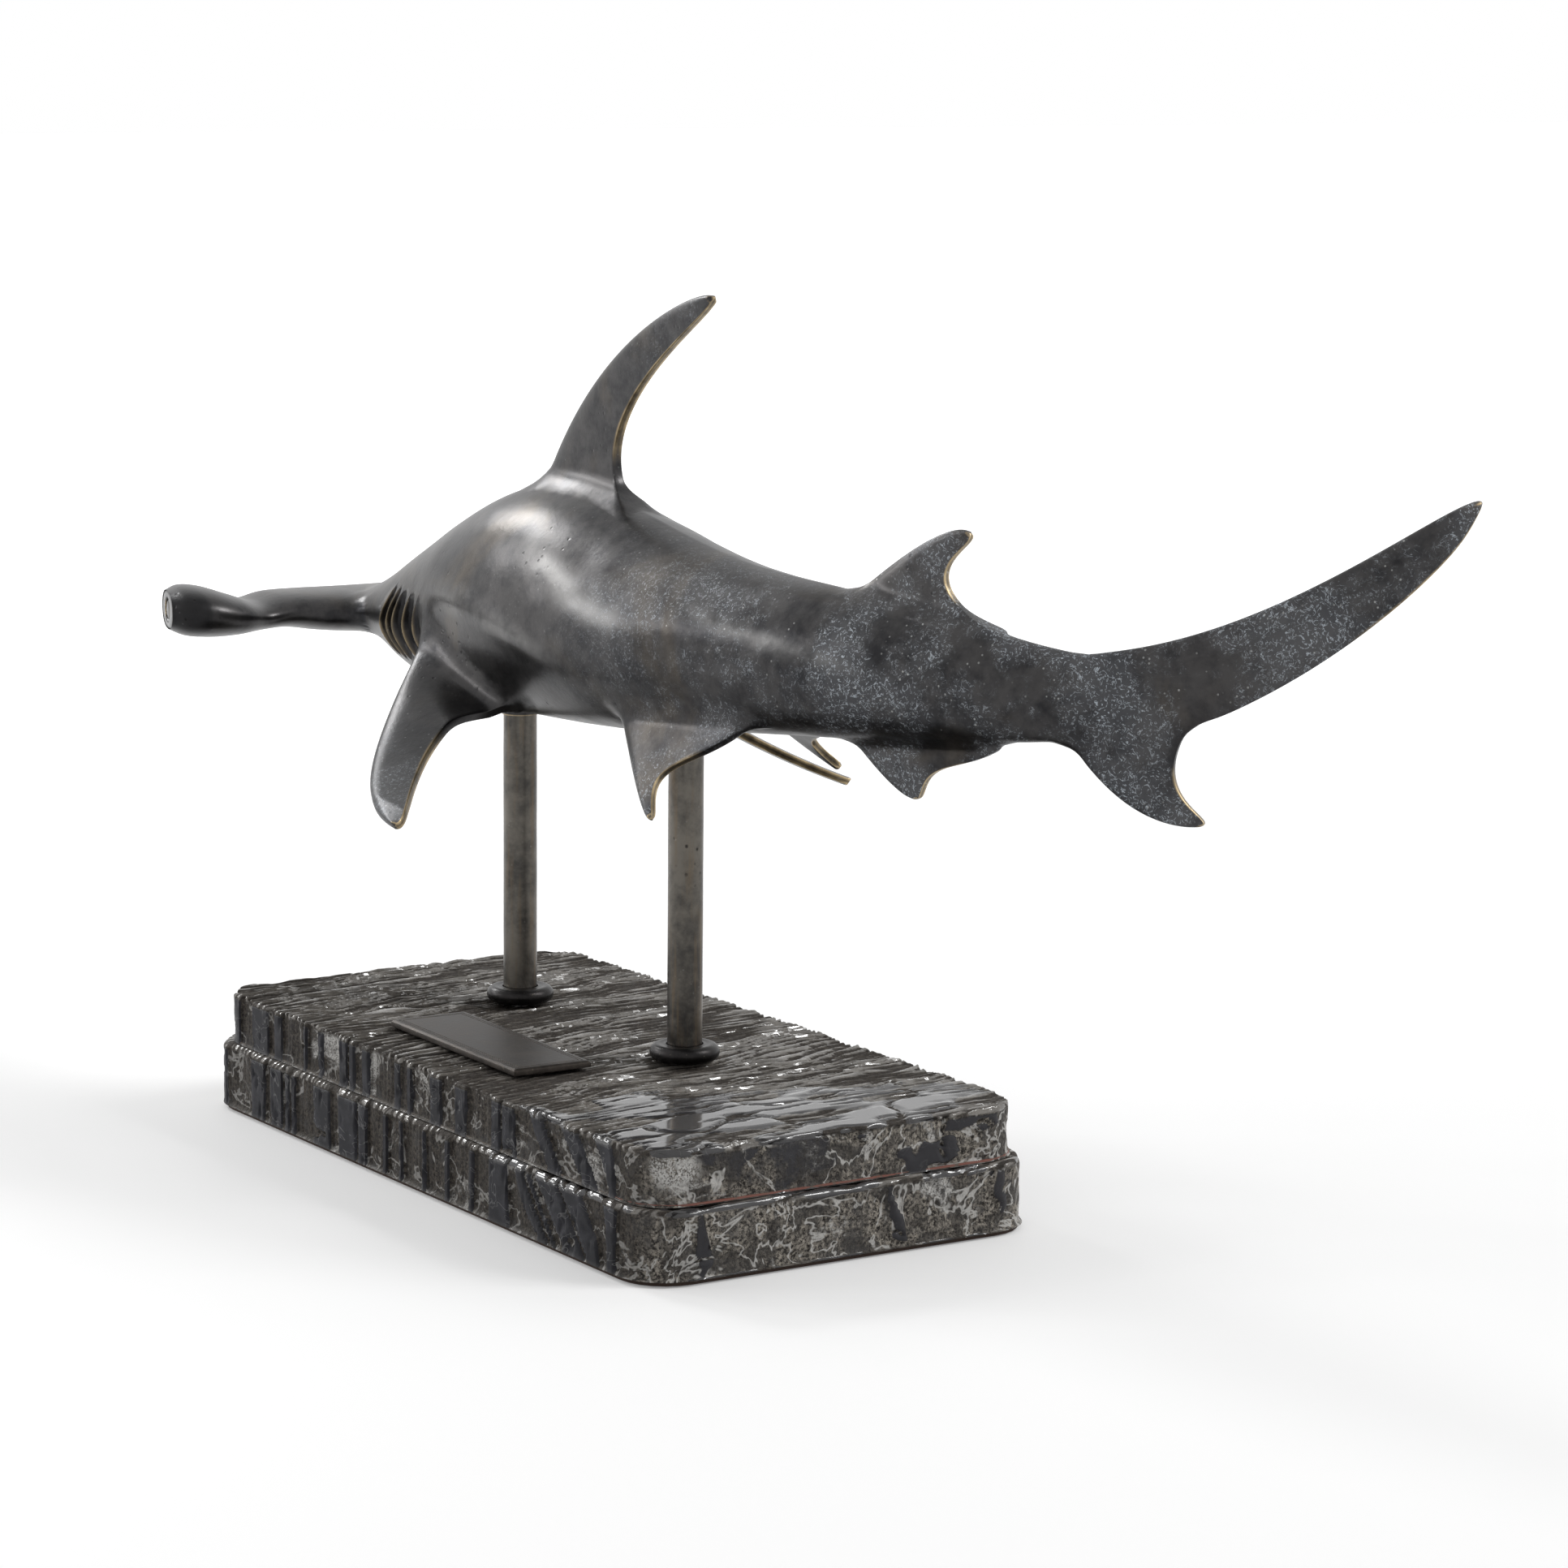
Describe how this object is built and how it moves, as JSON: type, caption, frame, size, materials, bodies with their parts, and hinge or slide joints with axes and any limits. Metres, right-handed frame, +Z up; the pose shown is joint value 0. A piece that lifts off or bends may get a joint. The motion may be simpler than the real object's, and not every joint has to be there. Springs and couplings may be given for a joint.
{
  "type": "hammerhead shark figurine on posts",
  "caption": "Cast bronze hammerhead shark held level on round posts with collars, over a stepped base of layered stone with a bare name plate.",
  "frame": {"origin": "centre of the base's underside, on the plane that it rests on", "axes": "+Z up; the shark's nose points to -X and its tail sweeps towards +Y; the name plate lies on the -Y side"},
  "size_m": [0.5131, 0.2115, 0.3037],
  "materials": {
    "cast_bronze": "satin",
    "dark_bronze": "satin",
    "layered_stone": "satin",
    "red_adhesive": "matte",
    "zinc_steel": "satin",
    "brown_liner": "matte"
  },
  "bodies": {
    "root": {"shark_casting": "cast_bronze", "front_post": "cast_bronze", "rear_post": "cast_bronze", "front_collar": "dark_bronze", "rear_collar": "dark_bronze", "name_plate": "dark_bronze", "upper_slab": "layered_stone", "lower_slab": "layered_stone", "joint_resin": "red_adhesive", "front_stud": "zinc_steel", "rear_stud": "zinc_steel", "front_washer": "zinc_steel", "rear_washer": "zinc_steel", "front_nut": "zinc_steel", "rear_nut": "zinc_steel", "base_liner": "brown_liner"}
  },
  "joints": []
}
